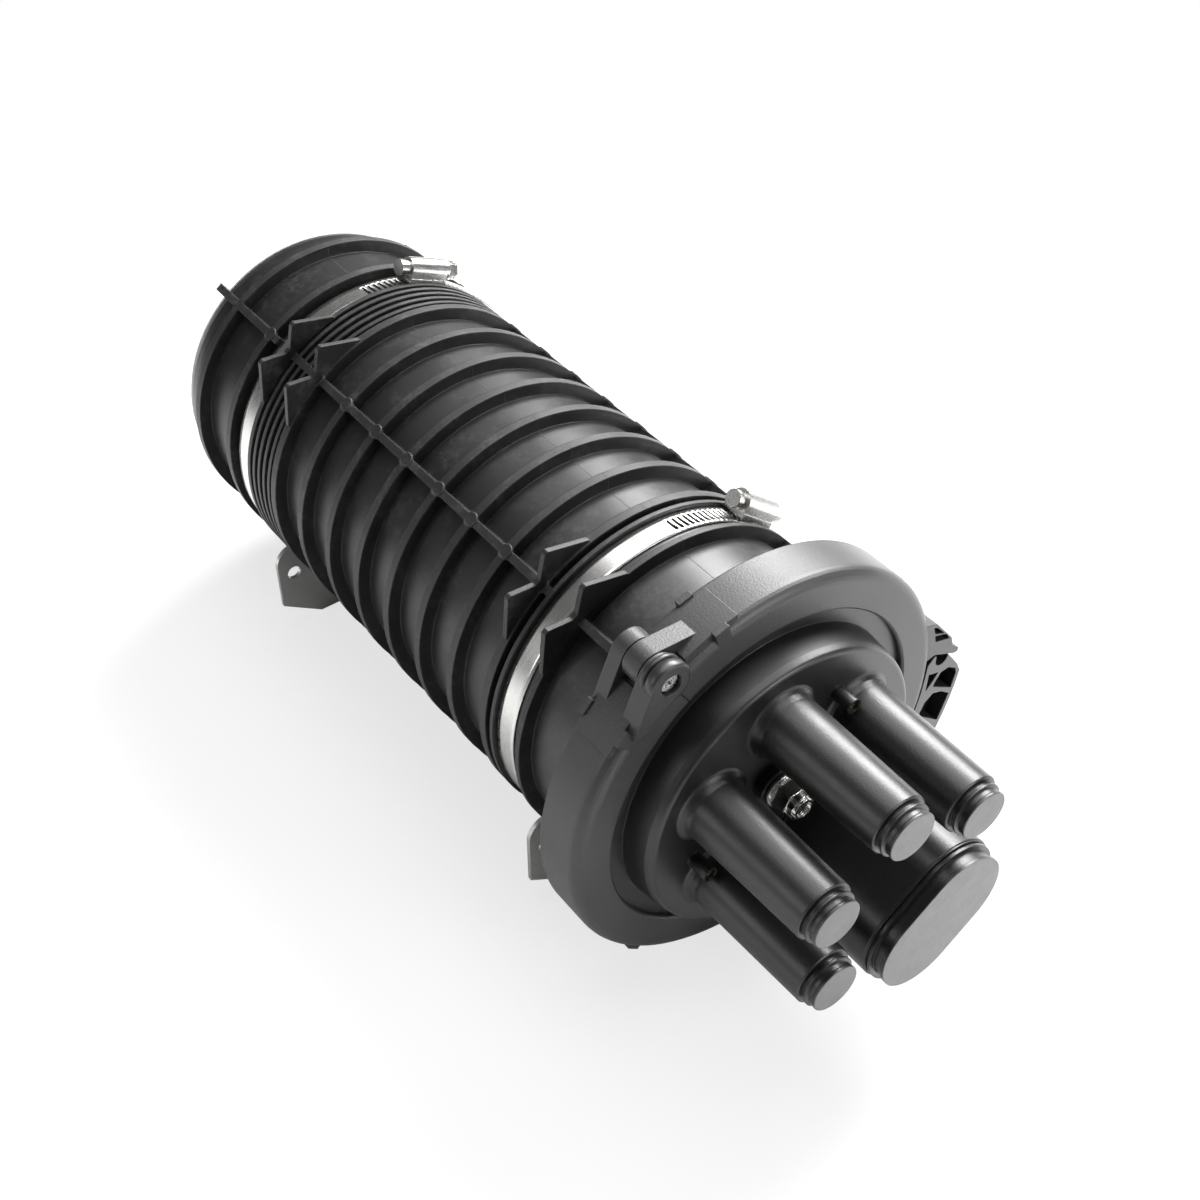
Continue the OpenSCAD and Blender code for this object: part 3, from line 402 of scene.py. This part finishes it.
def strip_piece(name, x_mm, parts, width_mm, radius_of, body):
    """A strip round the axis. parts is a list of (start angle, end angle, slotted)."""
    rows = [-width_mm / 2, -SLOT_HALF_MM, SLOT_HALF_MM, width_mm / 2]
    vertices, faces = [], []

    def column(angle):
        first = len(vertices)
        for i, row in enumerate(rows):
            slant = SLOT_SLANT_DEG_PER_MM * row if i in (1, 2) else 0.0
            vertices.append(at(x_mm + row, radius_of(angle), angle + slant))
        return first

    last = column(parts[0][0])
    for start, end, slotted in parts:
        pitch = SLOT_PITCH_DEG if slotted else PLAIN_PITCH_DEG
        count = max(1, round((end - start) / pitch))
        for i in range(count):
            a = start + (end - start) * i / count
            b = start + (end - start) * (i + 1) / count
            edges = [a + (b - a) * share for share in SLOT_SPAN]
            cuts = [(edges[0], True), (edges[1], False), (b, True)] if slotted else [(b, True)]
            for angle, solid in cuts:
                new = column(angle)
                for r in range(3):
                    if solid or r != 1:
                        faces.append((last + r, last + r + 1, new + r + 1, new + r))
                last = new
    mesh = bpy.data.meshes.new(name)
    mesh.from_pydata([tuple(v) for v in vertices], [], faces)
    for face in mesh.polygons:
        face.use_smooth = True
    piece = add_piece(name, mesh, band_steel, body)
    skin = piece.modifiers.new("thickness", "SOLIDIFY")
    skin.thickness = BAND_T_MM * MM
    skin.offset = 0.0
    return piece


def ring_radius(angle):
    """The strip's middle radius: it steps out over the bracket's shelf at the bottom."""
    off = abs(((angle + 180.0) % 360.0) - 180.0)
    step = min(1.0, max(0.0, (off - SHELF_FROM_DEG) / SHELF_RAMP_DEG))
    return BAND_IN_MM + BAND_T_MM / 2 + SHELF_STEP_MM * step


def tail_radius(screw_at, spring):
    """The loose end lies on the ring, and past the housing it springs away from it."""

    def radius(angle):
        free = max(0.0, angle - screw_at - 10.0)
        return BAND_IN_MM + BAND_T_MM * 1.5 + 0.03 + spring * free**1.6

    return radius


# %% [markdown]
# ## Two bands and their tails
# Each band is a ring with slots up to its housing, and a loose tail that comes out of the housing on the far side.
# The tail was once straight strip, so past the housing it springs a little away from the ring.

# %% Bands on the dome
TAIL_FROM_DEG, TAIL_TO_DEG = -6, 34
HOUSING_HALF_DEG = 6.5
# x of the band, angle of its screw, angle where the slots start, and how much the tail springs
BANDS = {"front": (-84.5, 39.0, 5.0, 0.008), "rear": (-342.6, 23.0, -1.5, 0.02)}
for end, (x_mm, screw_at, slots_from, spring) in BANDS.items():
    hoop_parts = [(-180.0, slots_from, False), (slots_from, screw_at - HOUSING_HALF_DEG, True),
                  (screw_at - HOUSING_HALF_DEG, 180.0, False)]
    ring = strip_piece(f"slotted_band_{end}", x_mm, hoop_parts, BAND_W_MM, ring_radius, "dome")
    loose = [(screw_at + TAIL_FROM_DEG, screw_at + TAIL_TO_DEG, True)]
    tail = strip_piece(
        f"band_tail_{end}", x_mm, loose, BAND_W_MM - 0.6, tail_radius(screw_at, spring), "dome"
    )
    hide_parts(f"band_{end}")
    print(end, "band has", len(ring.data.polygons), "faces, its tail", len(tail.data.polygons))

# %% [markdown]
# ## Pads where the ribs cross
# The mould's ejector pins pushed on the crossings of ring ribs and lengthwise ribs. Each pin left a low round pad.
# A pad is spun from its own outline, and all of them are one moulding with the dome.

# %% Ejector pads
TOP_R_MM = 91.00
PAD_OUTLINE_MM = [(4.2, -1.4), (4.1, 0.25), (3.8, 0.55), (3.3, 0.62), (2.9, 0.36), (0.0, 0.36)]
CROSSINGS_X_MM = [-100.9] + [-130.2 - 29.3 * i for i in range(6)] + [-306.0, -358.6]
RIB_ANGLES_DEG = [-36.5, 53.5, 143.5, 233.5]
PAD_SIDES = 20
pads = bmesh.new()
for angle in RIB_ANGLES_DEG:
    for x_mm in CROSSINGS_X_MM:
        middle, out = at(x_mm, TOP_R_MM, angle), (at(x_mm, 1.0, angle) - at(x_mm, 0.0, angle)).normalized()
        across = Vector((1, 0, 0)).cross(out)
        rings = []
        for radius, height in PAD_OUTLINE_MM:
            turns = [math.tau * i / PAD_SIDES for i in range(PAD_SIDES)] if radius else [0.0]
            centre = middle + out * height * MM
            spokes = [Vector((1, 0, 0)) * math.cos(t) + across * math.sin(t) for t in turns]
            ring = [pads.verts.new(centre + radius * MM * spoke) for spoke in spokes]
            if rings:
                below = rings[-1]
                for i in range(PAD_SIDES):
                    j = (i + 1) % PAD_SIDES
                    corners = [below[i], below[j]] + ([ring[j], ring[i]] if radius else [ring[0]])
                    pads.faces.new(corners)
            rings.append(ring)
        pads.faces.new(list(reversed(rings[0])))
pad_mesh = bpy.data.meshes.new("rib_pads")
pads.to_mesh(pad_mesh)
pads.free()
add_piece("rib_pads", pad_mesh, dome_paint, "dome")
print(len(RIB_ANGLES_DEG) * len(CROSSINGS_X_MM), "pads,", len(pad_mesh.polygons), "faces")

# %% [markdown]
# ## Collars of the hinge barrel
# The hinge's front knuckle carries two raised collars with a groove between them, turned into the mould so that the
# pin's end sits in a stepped recess. Each collar is an outline in (x, radius) spun round the hinge's axis.

# %% Hinge collars
HINGE_R_MM = 9.5
HINGE_OUT_MM = 113.5
HINGE_AT_DEG = -32.5
COLLARS_MM = {
    "hinge_collar_end": [(-2.6, -0.6), (-2.6, 0.9), (-2.2, 1.25), (1.9, 1.25), (2.6, 0.7), (2.75, -0.2),
                         (2.75, -1.6)],
    "hinge_collar_inner": [(-6.2, -0.6), (-6.2, 0.8), (-5.8, 1.15), (-4.2, 1.15), (-3.8, 0.8), (-3.8, -0.6)],
}


def spun(name, outline, x_mm, out_mm, angle, paint, body, sides=48):
    """An outline of (x, radius) in mm, spun round a line along X."""
    middle = at(x_mm, out_mm, angle)
    work = bmesh.new()
    rings = []
    for along, radius in outline:
        turn = [math.tau * i / sides for i in range(sides)]
        ring = [Vector((along, radius * math.sin(t), radius * math.cos(t))) * MM + middle for t in turn]
        rings.append([work.verts.new(point) for point in ring])
    for low, high in zip(rings, rings[1:]):
        for i in range(sides):
            j = (i + 1) % sides
            work.faces.new([low[i], low[j], high[j], high[i]]).smooth = True
    mesh = bpy.data.meshes.new(name)
    bmesh.ops.recalc_face_normals(work, faces=work.faces)
    work.to_mesh(mesh)
    work.free()
    return add_piece(name, mesh, paint, body)


for name, outline in COLLARS_MM.items():
    collar = spun(
        name, [(x, HINGE_R_MM + r) for x, r in outline], 0.0, HINGE_OUT_MM, HINGE_AT_DEG, lever_plastic,
        "base",
    )
    print(name, len(collar.data.polygons), "faces")

# %% [markdown]
# ## The floor
# The closure lies on a plain white floor, as on a product table. The floor is painted paler where the camera sees it
# directly, which keeps the closure's own soft shadow, and blends to plain white further out.

# %% Floor
FLOOR_SIZE = 30.0
FLOOR_DROP = 0.0003
NEAR_WHITE, FAR_WHITE = 0.72, 1.0  # how much of the floor's colour is plain white, near the closure and far away
bpy.ops.mesh.primitive_plane_add(size=FLOOR_SIZE, location=(0, 0, CAD_BOX[0][2] - FLOOR_DROP))
floor = bpy.context.object
floor.name = "floor"
floor_paint = Paint("floor_white")
spot = floor_paint.node("ShaderNodeVectorMath", {"operation": "LENGTH"}, {0: floor_paint.place()}, out=1)
seen = floor_paint.node("ShaderNodeLightPath", out=0)
paper = Wire(floor_paint, floor_paint.shader.outputs[0])
white = floor_paint.node("ShaderNodeEmission", None, {"Color": grey(1.0), "Strength": 1.0})
fade = seen * (spot.ramp(0.30, 0.80) * (FAR_WHITE - NEAR_WHITE) + NEAR_WHITE)
floor_paint.set(Base_Color=grey(0.90), Roughness=0.9)
blend = floor_paint.node("ShaderNodeMixShader", None, {0: fade, 1: paper, 2: white})
floor_paint.tree.links.new(blend.socket, floor_paint.tree.nodes["Material Output"].inputs["Surface"])
floor.data.materials.append(floor_paint.material)
print("floor at z", round(floor.location.z, 4))

# %% [markdown]
# ## Light
# A broad soft lamp behind the dome draws the long highlights over the ribs, a second lamp overhead lifts the floor,
# a weak one fills the far side and a fourth lights the ends of the ports. Black plastic shows little of its own
# colour: what is seen is mostly the reflection of the lamps and of the white floor.

# %% World and lamps
WORLD_LIGHT = 0.13
world = bpy.data.worlds.new("studio")
bpy.context.scene.world = world
world.use_nodes = True
tree = world.node_tree
background = tree.nodes["Background"]
path = tree.nodes.new("ShaderNodeLightPath")
strength = tree.nodes.new("ShaderNodeMapRange")
strength.inputs["To Min"].default_value = WORLD_LIGHT
strength.inputs["To Max"].default_value = 1.0
tree.links.new(path.outputs["Is Camera Ray"], strength.inputs["Value"])
tree.links.new(strength.outputs[0], background.inputs["Strength"])
background.inputs["Color"].default_value = (1.0, 1.0, 1.0, 1.0)


def softbox(name, place, aim, size_x, size_y, watts):
    data = bpy.data.lights.new(name, "AREA")
    data.shape = "RECTANGLE"
    data.size = size_x
    data.size_y = size_y
    data.energy = watts
    lamp = bpy.data.objects.new(name, data)
    lamp.location = place
    lamp.rotation_euler = (Vector(aim) - Vector(place)).to_track_quat("-Z", "Y").to_euler()
    bpy.context.scene.collection.objects.link(lamp)
    return lamp


softbox("lamp_back", (-0.45, 1.20, 1.25), (0, 0, 0.1), 1.1, 0.8, 84.0)
softbox("lamp_top", (-0.2, 0.2, 1.9), (0.0, 0, 0), 1.6, 1.6, 30.0)
softbox("lamp_side", (-0.5, -1.8, 0.8), (0.0, 0, 0.1), 0.8, 0.8, 7.0)
softbox("lamp_ports", (1.45, 0.55, 0.8), (0.1, 0, 0.1), 0.7, 0.7, 15.0)
print("four lamps and a pale world")
